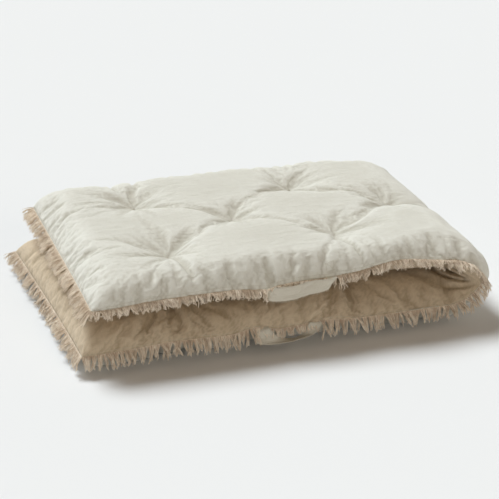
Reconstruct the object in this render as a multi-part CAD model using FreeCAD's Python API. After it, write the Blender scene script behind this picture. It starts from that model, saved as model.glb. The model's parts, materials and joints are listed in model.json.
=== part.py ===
"""Tufted floor cushion: one long cotton mattress, folded once so that one half lies on the other.

Millimetres, +Z up. X runs along the length, from the free edges (-X) to the fold (+X).
Y runs across the width, and the handles are on the -Y edge. The origin is on the floor,
in the middle of the body, from its free seam to the outside of its fold. The upper half
turns about the crease, where the two inner panels meet at the fold, and opens over +X
until it lies flat on the floor.
"""
import FreeCAD, Part
import math
import os

V = FreeCAD.Vector

# Driving dimensions: the two halves and the fold
WIDTH = 600.0            # seam to seam, across
HALF_LENGTH = 827.0      # lower half, from its free seam to the crease
UPPER_SETBACK = 24.0     # the upper half's free seam stops this much short of the lower one's
HALF_THICKNESS = 96.0    # floor to crease
SEAM_HEIGHT = 43.0       # floor to the seam round the lower half
INNER_GAP = 0.5          # each inner panel stands this far from the crease's level
JOINT_GAP = 0.35         # between the upper half and the fold

# Cover
FABRIC = 1.5             # cotton cover, with its seam allowance
OUTER_SIDE = ((18.0, 11.0), (4.0, 29.0))   # (set in from the seam, above the outer flat)
OUTER_FLAT_INSET = 46.0                     # where the flat of the outer panel starts
INNER_SIDE = ((4.0, 30.5), (16.0, 11.5))   # (set in from the seam, below the inner flat)
INNER_FLAT_INSET = 44.0

# Fringe: a woven heading sewn in the seam, with clumps of loose yarn hanging from it
HEADING = 1.5            # thickness of the heading
HEADING_PROUD = 3.0      # it shows this far outside the seam
FRINGE_LENGTH = 28.0
FRINGE_THICKNESS = 2.5
CLUMP_PITCH = 12.0
CLUMP_ROOT = 10.0
CLUMP_TIP = 7.0
LOWER_DROOP = 50.0       # degrees below level
UPPER_DROOP = 25.0
PRESSED_DROOP = 80.0     # behind a handle
FOLD_CLUMPS = 13

# Tufts: a tie through the thickness, knotted at both faces in a dimple
TUFT_PITCH = 190.0       # between columns of tufts
TUFT_FROM_CREASE = 27.0  # first column, which has one tuft; the next has two, and so on
TUFT_COLUMNS = 4
TUFT_SIDE_INSET = 150.0  # a pair's tufts stand this far in from the seams
DIMPLE_RADIUS = 25.0
DIMPLE_FLOOR = 6.0       # radius of the dimple's bottom
OUTER_DIMPLE = 15.0      # depths
INNER_DIMPLE = 11.0
TIE_RADIUS = 1.2
TIE_CLEARANCE = 0.2
KNOT_RADIUS = 5.0
KNOT_HEIGHT = 3.0

# Handles: a flat strap on each half, its ends sewn in the seam on the -Y edge
STRAP_WIDTH = 30.0
STRAP_THICKNESS = 2.5
STRAP_STANDS_OFF = 17.0  # from the seam to the strap's inside face
STRAP_END_CLEARANCE = 1.8   # from the seam's heading to the strap's ends, which turn there
STRAP_CLEARANCE = 0.6    # from a strap's side to the clumps beside it
UPPER_STRAP_SPAN = 161.0
UPPER_STRAP_FROM_CREASE = 347.0
LOWER_STRAP_SPAN = 151.0
LOWER_STRAP_FROM_CREASE = 375.0
LOWER_STRAP_DROP = 52.0  # the lower strap is slack and hangs in a loop, this far along its slope
LOWER_STRAP_BAND = 22.0  # width of the loop's band, which is twisted out of its full width
LOWER_STRAP_STANDS_OFF = 9.0
LOWER_STRAP_CORNER = 6.0  # the band is this much broader at its turns, where it is creased
STRAP_LAP = 1.0  # a strap's flat end runs this far into its band, so that they are one piece
STITCH_SQUARE = 17.0     # square of stitching on the outer panel at each end of a strap
STITCH_THREAD = 1.2
STITCH_HEIGHT = 0.8

# Places worked out from the sizes above
CREASE_X = (HALF_LENGTH - HALF_THICKNESS) / 2
CREASE = V(CREASE_X, 0, HALF_THICKNESS)
ACROSS = V(0, 1, 0)
FRONT = -WIDTH / 2

os.makedirs("parts", exist_ok=True)


def save(name, solids):
    """Write one node: a single solid, or a group of separate ones."""
    shape = solids[0] if len(solids) == 1 else Part.makeCompound(solids)
    shape.exportStep("parts/" + name + ".step")
    print("%-24s %2d solid(s) %9.1f cm3" % (name, len(shape.Solids), shape.Volume / 1000))


def mirrored(shape):
    """The lower half's shape turned into the upper half's: a mirror image about the crease."""
    return shape.mirror(CREASE, V(0, 0, 1))


def side_profile():
    """The cover's side from the floor up to the inner face, as (inset, height) points."""
    top = HALF_THICKNESS - INNER_GAP
    inner = [(inset, top - below) for inset, below in INNER_SIDE]
    return ([(OUTER_FLAT_INSET, 0.0)] + list(OUTER_SIDE) + [(0.0, SEAM_HEIGHT)] + inner
            + [(INNER_FLAT_INSET, top)])


def inside(profile, gap):
    """The same profile moved inwards by gap, with the flats at its two ends moved too."""
    ends = [(profile[0][0] + 100, profile[0][1])], [(profile[-1][0] + 100, profile[-1][1])]
    points = ends[0] + list(profile) + ends[1]
    lines = []
    for (x0, z0), (x1, z1) in zip(points, points[1:]):
        length = math.hypot(x1 - x0, z1 - z0)
        nx, nz = (z1 - z0) / length, -(x1 - x0) / length
        lines.append((x0 + nx * gap, z0 + nz * gap, x1 - x0, z1 - z0))
    moved = []
    for (ax, az, adx, adz), (bx, bz, bdx, bdz) in zip(lines, lines[1:]):
        share = ((bx - ax) * bdz - (bz - az) * bdx) / (adx * bdz - adz * bdx)
        moved.append((ax + share * adx, az + share * adz))
    return moved


def face(points):
    return Part.Face(Part.makePolygon(list(points) + [points[0]]))


def pillow(free_x, end_x, profile):
    """A block with the profile on its free end and both sides, cut off square at end_x."""
    rings = []
    for inset, z in profile:
        y = WIDTH / 2 - inset
        rings.append([V(end_x, -y, z), V(free_x + inset, -y, z),
                      V(free_x + inset, y, z), V(end_x, y, z)])
    faces = [face(rings[0]), face(rings[-1])]
    for low, high in zip(rings, rings[1:]):
        faces += [face([low[k], low[k + 1], high[k + 1], high[k]]) for k in range(3)]
    faces.append(face([ring[0] for ring in rings] + [ring[3] for ring in reversed(rings)]))
    return Part.Solid(Part.Shell(faces))


def tuft_places():
    """(x, y) of each tuft: one, two, one, two, from the crease to the free edge."""
    places = []
    for column in range(TUFT_COLUMNS):
        x = CREASE_X - TUFT_FROM_CREASE - column * TUFT_PITCH
        side = WIDTH / 2 - TUFT_SIDE_INSET
        places += [(x, 0.0)] if column % 2 == 0 else [(x, -side), (x, side)]
    return places


def dimple(x, y, z, depth, up, grown=0.0):
    """The hollow that a tuft pulls in one face; up is +1 on the face below and -1 above."""
    wide, deep = DIMPLE_RADIUS + grown, depth + grown
    return Part.makeCone(wide, DIMPLE_FLOOR + grown, deep, V(x, y, z), V(0, 0, up))


def all_dimples(grown=0.0):
    top = HALF_THICKNESS - INNER_GAP
    hollows = []
    for x, y in tuft_places():
        hollows.append(dimple(x, y, 0, OUTER_DIMPLE, 1, grown))
        hollows.append(dimple(x, y, top, INNER_DIMPLE, -1, grown))
    return hollows


def tie_hole(x, y):
    return Part.makeCylinder(TIE_RADIUS + TIE_CLEARANCE, HALF_THICKNESS, V(x, y, 0))


def tuft(x, y):
    """A tie with a knot at each end, seated in the two dimples."""
    low = OUTER_DIMPLE
    high = HALF_THICKNESS - INNER_GAP - INNER_DIMPLE
    tie = Part.makeCylinder(TIE_RADIUS, high - low, V(x, y, low))
    knot = Part.makeCylinder(KNOT_RADIUS, KNOT_HEIGHT, V(x, y, low - KNOT_HEIGHT))
    return tie.fuse([knot, Part.makeCylinder(KNOT_RADIUS, KNOT_HEIGHT, V(x, y, high))])


def between(shape, low, high):
    """The slice of a shape between two levels."""
    room = 4 * (HALF_LENGTH + WIDTH)
    return shape.common(Part.makeBox(room, room, high - low, V(-room / 2, -room / 2, low)))


def half(free_x, end_x):
    """Fill, outer panel, inner panel and tufts of one half, as the lower one lies."""
    profile = side_profile()
    places = tuft_places()
    holes = [tie_hole(x, y) for x, y in places]
    block = pillow(free_x, end_x, profile).cut(all_dimples())
    inner_profile = inside(profile, FABRIC)
    hollow = pillow(free_x, end_x + FABRIC, inner_profile).cut(all_dimples(FABRIC))
    fill = pillow(free_x, end_x, inner_profile).cut(all_dimples(FABRIC)).cut(holes)
    cover = block.cut(hollow).cut(holes)
    outer = between(cover, 0, SEAM_HEIGHT - HEADING / 2)
    inner = between(cover, SEAM_HEIGHT + HEADING / 2, HALF_THICKNESS)
    return fill, outer, inner, [tuft(x, y) for x, y in places]


def clumps(start, end, outward, droop):
    """A comb of clumps from start to end along a seam, hanging outwards by droop degrees."""
    along = end - start
    count = int(along.Length // CLUMP_PITCH)
    along.normalize()
    down = outward * math.cos(math.radians(droop)) + V(0, 0, -math.sin(math.radians(droop)))
    normal = along.cross(down)
    spare = ((end - start).Length - count * CLUMP_PITCH) / 2
    root = start + outward * (HEADING_PROUD - 1) - normal * (FRINGE_THICKNESS / 2)
    length = FRINGE_LENGTH - HEADING_PROUD
    band = CLUMP_PITCH - CLUMP_ROOT
    outline = [root]
    for n in range(count):
        left = spare + n * CLUMP_PITCH + band / 2
        right = left + CLUMP_ROOT
        taper = (CLUMP_ROOT - CLUMP_TIP) / 2
        outline += [root + along * left + down * band, root + along * (left + taper) + down * length,
                    root + along * (right - taper) + down * length,
                    root + along * right + down * band]
    outline.append(root + along * (end - start).Length)
    return face(outline).extrude(normal * FRINGE_THICKNESS)


def heading(low_x, high_x, low_y, high_y):
    return Part.makeBox(high_x - low_x, high_y - low_y, HEADING,
                        V(low_x, low_y, SEAM_HEIGHT - HEADING / 2))


def side_fringe(free_x, end_x, outward, droop, handle=None):
    """Fringe along a long side. Behind a handle it is pressed down, clear of the strap's ends."""
    edge, inner = outward.y * (WIDTH / 2 + HEADING_PROUD), outward.y * (WIDTH / 2 - FABRIC)
    pieces = [heading(free_x - HEADING_PROUD, end_x, min(edge, inner), max(edge, inner))]
    spans = [(free_x, end_x, droop)]
    if handle:
        centre, span, pressed = handle
        first, last = centre - span / 2, centre + span / 2
        tab = STRAP_WIDTH + STRAP_CLEARANCE
        spans = [(free_x, first - STRAP_CLEARANCE, droop), (first + tab, last - tab, pressed),
                 (last + STRAP_CLEARANCE, end_x, droop)]
    for low, high, angle in spans:
        a, b = V(low, outward.y * WIDTH / 2, SEAM_HEIGHT), V(high, outward.y * WIDTH / 2, SEAM_HEIGHT)
        pieces.append(clumps(a, b, outward, angle))
    return pieces[0].fuse(pieces[1:])


def end_fringe(free_x, droop):
    y = WIDTH / 2
    strip = heading(free_x - HEADING_PROUD, free_x + FABRIC, FABRIC - y, y - FABRIC)
    corner = HEADING_PROUD
    comb = clumps(V(free_x, corner - y, SEAM_HEIGHT), V(free_x, y - corner, SEAM_HEIGHT),
                  V(-1, 0, 0), droop)
    return strip.fuse(comb)


def fringe(free_x, end_x, droop, handle):
    """Front, back and end fringe of one half."""
    return (side_fringe(free_x, end_x, V(0, -1, 0), droop, handle),
            side_fringe(free_x, end_x, V(0, 1, 0), droop), end_fringe(free_x, droop))


def turned(section):
    """A section at the lower half's end swept round the crease to the upper half's end."""
    return section.revolve(CREASE, -ACROSS, 180)


def section(profile):
    """Closed section across the width, at the crease, from a list of (inset, height)."""
    points = [V(CREASE_X, inset - WIDTH / 2, z) for inset, z in profile]
    points += [V(CREASE_X, WIDTH / 2 - inset, z) for inset, z in reversed(profile)]
    return face(points)


def band_section(outside, lining):
    """Section of a panel: the cover's profile on one side and the fill's on the other."""
    left = [V(CREASE_X, inset - WIDTH / 2, z) for inset, z in outside]
    right = [V(CREASE_X, WIDTH / 2 - inset, z) for inset, z in reversed(outside)]
    back = [V(CREASE_X, WIDTH / 2 - inset, z) for inset, z in lining]
    home = [V(CREASE_X, inset - WIDTH / 2, z) for inset, z in reversed(lining)]
    return face(left + right + back + home)


def at_level(profile, z):
    """Where a profile crosses a level, as one (inset, height) point."""
    for (x0, z0), (x1, z1) in zip(profile, profile[1:]):
        if z0 <= z <= z1:
            return (x0 + (x1 - x0) * (z - z0) / (z1 - z0), z)


def fold():
    """Fill, outer panel and inner panel where the mattress turns over."""
    profile = side_profile()
    lining = inside(profile, FABRIC)
    low, high = SEAM_HEIGHT - HEADING / 2, SEAM_HEIGHT + HEADING / 2

    def under(points):
        return [at_level(points, low)] + [p for p in reversed(points) if p[1] < low]

    def over(points):
        return [at_level(points, high)] + [p for p in points if p[1] > high]

    return (turned(section(lining)), turned(band_section(under(profile), under(lining))),
            turned(band_section(over(profile), over(lining))))


def fold_fringe(outward):
    """The heading round the fold, with its clumps fanned out and hanging a little."""
    edge, inner = outward * (WIDTH / 2 + HEADING_PROUD), outward * (WIDTH / 2 - FABRIC)
    low, high = min(edge, inner), max(edge, inner)
    z = SEAM_HEIGHT - HEADING / 2
    strip = turned(face([V(CREASE_X, low, z), V(CREASE_X, high, z),
                         V(CREASE_X, high, z + HEADING), V(CREASE_X, low, z + HEADING)]))
    start = outward * (WIDTH / 2 + HEADING_PROUD - 1)
    length = FRINGE_LENGTH - HEADING_PROUD
    parts = []
    for n in range(FOLD_CLUMPS):
        clump = Part.makeBox(CLUMP_TIP, length, FRINGE_THICKNESS,
                             V(CREASE_X - CLUMP_TIP / 2, min(start, start + outward * length),
                               SEAM_HEIGHT - FRINGE_THICKNESS / 2))
        clump.rotate(V(CREASE_X, start, SEAM_HEIGHT), V(1, 0, 0), outward * -UPPER_DROOP / 2)
        clump.rotate(CREASE, -ACROSS, (n + 0.5) * 180 / FOLD_CLUMPS)
        parts.append(clump)
    return strip.fuse(parts)


def plate(outline, stands_off, droop):
    """A strap cut from flat cloth: outline is (x, along its slope), hanging out by droop."""
    slope = math.radians(droop)
    down = V(0, -math.cos(slope), -math.sin(slope))
    normal = V(0, -math.sin(slope), math.cos(slope))
    root = V(0, FRONT, SEAM_HEIGHT) + normal * stands_off
    points = [root + V(x, 0, 0) + down * s for x, s in outline]
    return face(points).extrude(normal * STRAP_THICKNESS)


def strap_ends(centre, span, reach):
    """The two flat ends, which come straight out of the seam."""
    ends = []
    y = FRONT - HEADING_PROUD - STRAP_END_CLEARANCE
    for x in (centre - span / 2, centre + span / 2 - STRAP_WIDTH):
        ends.append(Part.makeBox(STRAP_WIDTH, y - reach, STRAP_THICKNESS,
                                 V(x, reach, SEAM_HEIGHT - STRAP_THICKNESS / 2)))
    return ends


def upper_strap():
    """A short strap, nearly straight, hanging flat; built as the upper half's mirror image."""
    centre = CREASE_X - UPPER_STRAP_FROM_CREASE
    a, b = centre - UPPER_STRAP_SPAN / 2, centre + UPPER_STRAP_SPAN / 2
    top = -STRAP_THICKNESS / 2
    y = FRONT - STRAP_STANDS_OFF - STRAP_THICKNESS
    levels = [(a, top), (b, top), (b - STRAP_WIDTH, STRAP_WIDTH + top),
              (a + STRAP_WIDTH, STRAP_WIDTH + top)]
    flat = face([V(x, y, SEAM_HEIGHT + z) for x, z in levels]).extrude(V(0, STRAP_THICKNESS, 0))
    return flat.fuse(strap_ends(centre, UPPER_STRAP_SPAN, y + STRAP_THICKNESS / 2))


def lower_strap():
    """A slack strap that hangs in a loop, in front of the fringe and down to the floor."""
    centre = CREASE_X - LOWER_STRAP_FROM_CREASE
    a, b = centre - LOWER_STRAP_SPAN / 2, centre + LOWER_STRAP_SPAN / 2
    band, drop = LOWER_STRAP_BAND, LOWER_STRAP_DROP
    lean = drop / 2
    inner_lean = lean - LOWER_STRAP_CORNER
    outline = [(a, 0), (a + band, 0), (a + band + inner_lean, drop - band),
               (b - band - inner_lean, drop - band), (b - band, 0), (b, 0), (b - lean, drop), (a + lean, drop)]
    flat = plate(outline, LOWER_STRAP_STANDS_OFF, LOWER_DROOP)
    slope = math.radians(LOWER_DROOP)
    reach = FRONT - (LOWER_STRAP_STANDS_OFF + STRAP_THICKNESS) / math.sin(slope) + STRAP_LAP
    return flat.fuse(strap_ends(centre, LOWER_STRAP_SPAN, reach))


def stitching(centre, span):
    """Two squares of thread on the outer panel's slope, one by each end of a strap."""
    (x1, z1), (x0, z0) = OUTER_SIDE
    length = math.hypot(x1 - x0, z1 - z0)
    up = V(0, (x0 - x1) / length, (z0 - z1) / length)
    normal = V(0, -(z0 - z1) / length, (x0 - x1) / length)
    middle = V(0, FRONT + (x0 + x1) / 2, (z0 + z1) / 2)
    squares = []
    for x in (centre - span / 2 + STRAP_WIDTH / 2, centre + span / 2 - STRAP_WIDTH / 2):
        rims = []
        for size in (STITCH_SQUARE, STITCH_SQUARE - 2 * STITCH_THREAD):
            half_size = size / 2
            corners = [middle + V(x + i * half_size, 0, 0) + up * (j * half_size)
                       for i, j in ((-1, -1), (1, -1), (1, 1), (-1, 1))]
            rims.append(face(corners).extrude(normal * STITCH_HEIGHT))
        squares.append(rims[0].cut(rims[1]))
    return squares


def build():
    free_x = CREASE_X - HALF_LENGTH
    handles = {"lower": (CREASE_X - LOWER_STRAP_FROM_CREASE, LOWER_STRAP_SPAN, LOWER_DROOP),
               "upper": (CREASE_X - UPPER_STRAP_FROM_CREASE, UPPER_STRAP_SPAN, -PRESSED_DROOP)}
    straps = {"lower": lower_strap(), "upper": upper_strap()}
    droops = {"lower": LOWER_DROOP, "upper": -UPPER_DROOP}
    for name in ("lower", "upper"):
        start = free_x if name == "lower" else free_x + UPPER_SETBACK
        end = CREASE_X if name == "lower" else CREASE_X - JOINT_GAP
        fill, outer, inner, ties = half(start, end)
        front, back, free_end = fringe(start, end, droops[name], handles[name])
        centre, span, _ = handles[name]
        nodes = {"fill": [fill], "outer_panel": [outer], "inner_panel": [inner], "tufts": ties,
                 "fringe_front": [front], "fringe_back": [back], "fringe_end": [free_end],
                 "handle": [straps[name]], "handle_stitching": stitching(centre, span)}
        for part, solids in nodes.items():
            save(name + "_" + part, solids if name == "lower" else [mirrored(s) for s in solids])
    fill, outer, inner = fold()
    for part, solid in (("fill", fill), ("outer_panel", outer), ("inner_panel", inner),
                        ("fringe_front", fold_fringe(-1)), ("fringe_back", fold_fringe(1))):
        save("fold_" + part, [solid])


build()
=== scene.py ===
# %% [markdown]
# # A tufted floor cushion, folded in half
# One long cotton mattress lies folded once. Its two fabric panels are sewn together all round,
# with a cotton fringe in the seam, and thread ties pull them in at the tufts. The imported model
# gives every size and place. It could be drawn again from measurements, but then a change in the
# model would leave the cloth behind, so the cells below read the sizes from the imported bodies.

# %% Load the frame
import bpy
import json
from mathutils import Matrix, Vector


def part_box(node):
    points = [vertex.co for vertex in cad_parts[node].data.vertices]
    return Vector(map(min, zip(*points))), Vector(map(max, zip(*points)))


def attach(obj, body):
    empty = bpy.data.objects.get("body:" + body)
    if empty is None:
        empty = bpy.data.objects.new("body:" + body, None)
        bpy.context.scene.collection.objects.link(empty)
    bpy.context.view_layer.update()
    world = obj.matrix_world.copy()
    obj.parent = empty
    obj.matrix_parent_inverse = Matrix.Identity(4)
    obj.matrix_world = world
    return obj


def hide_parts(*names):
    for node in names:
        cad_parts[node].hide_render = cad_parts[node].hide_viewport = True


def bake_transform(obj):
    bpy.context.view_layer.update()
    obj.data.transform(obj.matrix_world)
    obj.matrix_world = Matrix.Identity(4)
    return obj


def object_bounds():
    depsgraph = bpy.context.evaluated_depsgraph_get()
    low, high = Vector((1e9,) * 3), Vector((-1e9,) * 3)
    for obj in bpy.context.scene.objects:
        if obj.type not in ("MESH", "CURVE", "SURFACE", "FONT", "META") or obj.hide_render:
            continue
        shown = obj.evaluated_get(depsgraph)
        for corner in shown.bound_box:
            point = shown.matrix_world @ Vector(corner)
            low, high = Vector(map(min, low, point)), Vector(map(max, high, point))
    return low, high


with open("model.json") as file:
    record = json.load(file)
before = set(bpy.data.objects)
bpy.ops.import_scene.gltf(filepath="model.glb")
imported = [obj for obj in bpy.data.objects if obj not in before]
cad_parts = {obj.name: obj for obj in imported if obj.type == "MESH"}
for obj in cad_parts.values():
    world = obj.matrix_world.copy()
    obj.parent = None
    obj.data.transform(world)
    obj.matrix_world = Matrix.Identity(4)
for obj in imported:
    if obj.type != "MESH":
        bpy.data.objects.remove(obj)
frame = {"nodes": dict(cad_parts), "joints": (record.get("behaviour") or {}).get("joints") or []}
cad_box = [list(corner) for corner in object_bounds()]

import json
import math
import bpy
import numpy as np
from mathutils import Vector

scene = bpy.context.scene
print("cad box", cad_box)

# %% Sizes, all read from the frame
outer_low, outer_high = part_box("lower_outer_panel")
top_low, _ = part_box("upper_outer_panel")
inner_low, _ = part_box("lower_inner_panel")
fold_joint = next(j for j in frame["joints"] if j["name"] == "fold")
CREASE_X, _, CREASE_Z = fold_joint["pos_m"]
HALF_WIDTH = outer_high.y
SEAM_Z = (outer_high.z + inner_low.z) / 2
LOWER_LENGTH = CREASE_X - outer_low.x
UPPER_LENGTH = CREASE_X - top_low.x
FOLD_RADIUS = CREASE_Z - SEAM_Z
print("halves", round(LOWER_LENGTH, 4), round(UPPER_LENGTH, 4), "seam at", round(SEAM_Z, 4))

# %% [markdown]
# ## Where the tufts are
# A tuft is a tie pulled through the whole pad. The frame has the six ties of a half in one mesh,
# and nothing says which corner belongs to which tie. Corners that share a face belong together,
# so the mesh is taken apart that way, and the middle of each part is a tuft.

# %% Tuft places, from the group of ties in the frame
def loose_parts(mesh):
    """Middle of each separate part of a mesh, by joining the corners that share a face."""
    owner = list(range(len(mesh.vertices)))

    def root(k):
        while owner[k] != k:
            owner[k] = owner[owner[k]]
            k = owner[k]
        return k

    places = {}
    for k, vertex in enumerate(mesh.vertices):
        key = tuple(round(c, 5) for c in vertex.co)
        owner[k] = places.setdefault(key, k)
    for face in mesh.polygons:
        corners = [root(k) for k in face.vertices]
        for k in corners[1:]:
            owner[root(k)] = root(corners[0])
    groups = {}
    for k, vertex in enumerate(mesh.vertices):
        groups.setdefault(root(k), []).append(vertex.co)
    return [((np.min(g, axis=0) + np.max(g, axis=0)) / 2).tolist() for g in groups.values()]


tuft_xy = {half: [place[:2] for place in loose_parts(frame["nodes"][half + "_tufts"].data)]
           for half in ("lower", "upper")}
print("tufts", {half: len(places) for half, places in tuft_xy.items()})

# %% [markdown]
# ## The two panels, before they swell
# A panel is one long piece of cloth, so it is drawn unrolled: a distance along the mattress, one
# across it, and a height off the seam. Its edge rolls up from the seam like a pillow's, and the
# whole is then laid flat, round the fold and back. A box with rounded corners would be quicker,
# but its weave and its seam wouldn't run on through the fold as the real cloth does.

# %% Sizes of the unrolled panels
FOLD_LENGTH = math.pi * FOLD_RADIUS
LENGTH_ALL = LOWER_LENGTH + FOLD_LENGTH + UPPER_LENGTH
SEAM_STRETCH, COVER_STRETCH = 1.45, 1.16    # a soft fold stands out further than a round one
GRID = 0.005                                # step of the cloth's grid
PRESSED = 0.014                             # the highest swells are eased down over this much
HIGHEST = cad_box[1][2] + 0.0145            # the cover may stand this proud of its packed form
OUTER_CROWN = 0.052                         # tallest rise of the cover over its seam
INNER_CROWN = FOLD_RADIUS - 0.0008 - 0.006  # and of the lining, a little short of the other half
OUTER_ROLL, OUTER_ROLL_BACK, INNER_ROLL = 0.080, 0.046, 0.062
TUFT_REACH, GAPE_REACH = 0.085, 0.11        # of a dimple, and of the gap between the halves
print("opened flat", round(LENGTH_ALL, 3), "m by", round(2 * HALF_WIDTH, 3), "m")


# %% From a flat panel to the folded shape
def rolled_edge(length, rolls, height):
    """Samples along a panel: place, and rise from 0 at a seam to 1 past the rolled edge."""
    fine = np.linspace(0, math.pi / 2, 60)
    start, end = (roll * (1 - np.cos(fine) ** 0.85) for roll in rolls)
    up = np.sin(fine) ** 0.9
    place = np.concatenate([start, (length - end)[::-1]])
    rise = np.concatenate([up, up[::-1]])
    run = np.concatenate([[0], np.cumsum(np.hypot(np.diff(place), np.diff(rise) * height))])
    even = np.linspace(0, run[-1], int(round(run[-1] / GRID)) + 1)
    return np.interp(even, run, place), np.interp(even, run, rise), even


def run_along(points):
    """Distance run along a line at each of its points."""
    steps = np.linalg.norm(np.diff(points, axis=0), axis=1)
    return np.concatenate([[0], np.cumsum(steps)])


def unrolled(x, half):
    """Distance along the unrolled mattress of a place x on one half."""
    return x - CREASE_X if half == "lower" else FOLD_LENGTH + CREASE_X - x


def place_on(along, across, height):
    """From unrolled (along the seam, across, out from the seam's level) to the folded shape."""
    x = np.where(along < 0, CREASE_X + along, CREASE_X - (along - FOLD_LENGTH))
    z = np.where(along < 0, SEAM_Z - height, 2 * CREASE_Z - SEAM_Z + height)
    turn = np.clip(along / FOLD_LENGTH, 0, 1) * math.pi
    radius = FOLD_RADIUS + height
    bent = (along >= 0) & (along <= FOLD_LENGTH)
    share = np.clip(height / OUTER_CROWN, -1, 1)
    extra = SEAM_STRETCH - 1 + (COVER_STRETCH - SEAM_STRETCH) * np.maximum(share, 0)
    stretch = 1 + extra * np.sin(turn)
    x = np.where(bent, CREASE_X + radius * np.sin(turn) * stretch, x)
    z = np.where(bent, CREASE_Z - radius * np.cos(turn), z)
    return np.stack([x, across, z], -1)


def panel_grid(height, roll, roll_back):
    """Grid of one panel: places along and across it, its rise, and its places as flat cloth."""
    a_place, a_rise, a_flat = rolled_edge(LENGTH_ALL, (roll, roll), height)
    c_place, c_rise, c_flat = rolled_edge(2 * HALF_WIDTH, (roll, roll_back), height)
    along, across = np.meshgrid(a_place - LOWER_LENGTH, c_place - HALF_WIDTH, indexing="ij")
    rise = np.outer(a_rise, c_rise)
    flat = np.stack(np.meshgrid(a_flat, c_flat, indexing="ij"), -1)
    return along, across, rise, flat


def tuft_distance(along, across):
    """Distance over the cloth to the nearest tuft."""
    away = np.full(along.shape, LENGTH_ALL)
    for half, places in tuft_xy.items():
        for x, y in places:
            away = np.minimum(away, np.hypot(along - unrolled(x, half), across - y))
    return away


def grid_mesh(name, points, flat, flip=False):
    """A grid of points as a mesh, with its flat cloth as the UV map."""
    rows, columns = points.shape[:2]
    k = np.arange(rows * columns).reshape(rows, columns)
    faces = np.stack([k[:-1, :-1], k[1:, :-1], k[1:, 1:], k[:-1, 1:]], -1).reshape(-1, 4)
    if flip:
        faces = faces[:, ::-1]
    mesh = bpy.data.meshes.new(name)
    mesh.from_pydata(points.reshape(-1, 3).tolist(), [], faces.tolist())
    uv = mesh.uv_layers.new(name="cloth")
    loops = np.zeros(len(mesh.loops), np.int32)
    mesh.loops.foreach_get("vertex_index", loops)
    uv.data.foreach_set("uv", flat.reshape(-1, 2)[loops].ravel())
    obj = bpy.data.objects.new(name, mesh)
    scene.collection.objects.link(obj)
    for polygon in mesh.polygons:
        polygon.use_smooth = True
    return obj


# %% [markdown]
# ## Where the cloth creases
# Three things crease the cloth: the seam, which is sewn a little shorter than the cloth and puckers
# it square to the edge; the fold, which pleats it from the two points where the seam turns; and the
# ties, which pull it into dimples. Air alone makes these weakly, so they are started by uneven
# waves that die out with distance, and the simulation then tightens and joins them.

# %% Puckers, pleats and dimples
def seam_puckers(along, across, reach, seed):
    """Uneven creases square to the long seams, 0 to 1, that die out over a reach."""
    rng = np.random.default_rng(seed)
    wave = sum(np.sin(along * 2 * math.pi / length + rng.uniform(0, 6)
                      + 2.5 * np.sin(across * 9 + k))
               for k, length in enumerate((0.023, 0.034, 0.052, 0.081)))
    sharp = np.clip(0.5 - 0.28 * wave, 0, 1) ** 2
    from_side = HALF_WIDTH - abs(across)
    return sharp * np.exp(-(from_side / reach) ** 2)


def fold_pleats(along, across, count, spread):
    """Creases that run in from the two points where the seam turns round the fold, 0 to 1."""
    from_side = HALF_WIDTH - abs(across)
    away = np.hypot(along - FOLD_LENGTH / 2, from_side)
    angle = np.arctan2(from_side, along - FOLD_LENGTH / 2)
    wave = 0.5 + 0.5 * np.cos(count * angle + 1.3 * np.sin(3 * angle) + 14 * away)
    return wave ** 2 * np.exp(-(away / spread) ** 2) * np.clip(away / 0.04, 0, 1)


def outer_height(along, across, rise):
    """Height of the outer panel off the seam's level before it swells."""
    top = FOLD_LENGTH
    stops = [-0.06, 0.0, top / 2, top, top + 0.12, top + 0.3, top + 0.5, top + 0.75]
    crown = np.interp(along, stops, [SEAM_Z, SEAM_Z, 0.032, 0.032, 0.046, 0.052, 0.049, 0.042])
    depth = np.interp(along, stops, [0.012, 0.012, 0.012, 0.018, 0.024, 0.025, 0.025, 0.022])
    pleats = fold_pleats(along, across, 9, 0.15) * 0.0035
    puckers = seam_puckers(along * 0.8, across, 0.06, 4) * 0.0042 * np.sqrt(rise)
    dimple = np.clip(1 - tuft_distance(along, across) / TUFT_REACH, 0, 1) ** 2.2
    return rise * crown - dimple * depth - pleats - puckers


def inner_height(along, across, rise):
    """Height of the lining, towards the other half, so below zero: the halves gape at the edge."""
    near_fold = np.exp(-((along - FOLD_LENGTH / 2) / 0.24) ** 2)
    near_edge = np.exp(-((HALF_WIDTH - abs(across)) / GAPE_REACH) ** 2)
    ajar = 0.42 * near_fold
    ajar = ajar + (0.10 + 0.42 * np.clip(along / FOLD_LENGTH, 0, 1)) * (1 - near_fold)
    pleats = fold_pleats(along, across, 11, 0.17) * 0.009 * rise
    puckers = seam_puckers(along * 0.4, across, 0.10, 9) * 0.0065 * np.sqrt(rise)
    return -(rise * INNER_CROWN * (1 - ajar * near_edge)) + pleats + puckers


def swells(place, *bumps):
    """Sum of smooth bumps, each a height, the place of its middle and its half width."""
    return sum(height * np.exp(-((place - middle) / spread) ** 2)
               for height, middle, spread in bumps)


def warp(points, along, across):
    """The free end of the lower half lies a little skew, and the front seams wander up and down."""
    reach = np.clip(-along / LOWER_LENGTH, 0, 1) ** 2
    skew = ((across + HALF_WIDTH) / (2 * HALF_WIDTH)) ** 1.5
    points[..., 0] -= 0.024 * reach * skew
    front = np.clip(-across / HALF_WIDTH, 0, 1) ** 4
    from_fold = np.where(along > FOLD_LENGTH / 2, along - FOLD_LENGTH, -along)
    upper = swells(from_fold, (0.019, 0.12, 0.085), (-0.008, 0.43, 0.04), (-0.007, 0.78, 0.08))
    lower = swells(from_fold, (0.007, 0.30, 0.06), (0.012, 0.45, 0.035), (0.006, 0.62, 0.10))
    lift = np.where(along > FOLD_LENGTH / 2, upper, lower)
    points[..., 2] += lift * front
    return points


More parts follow.
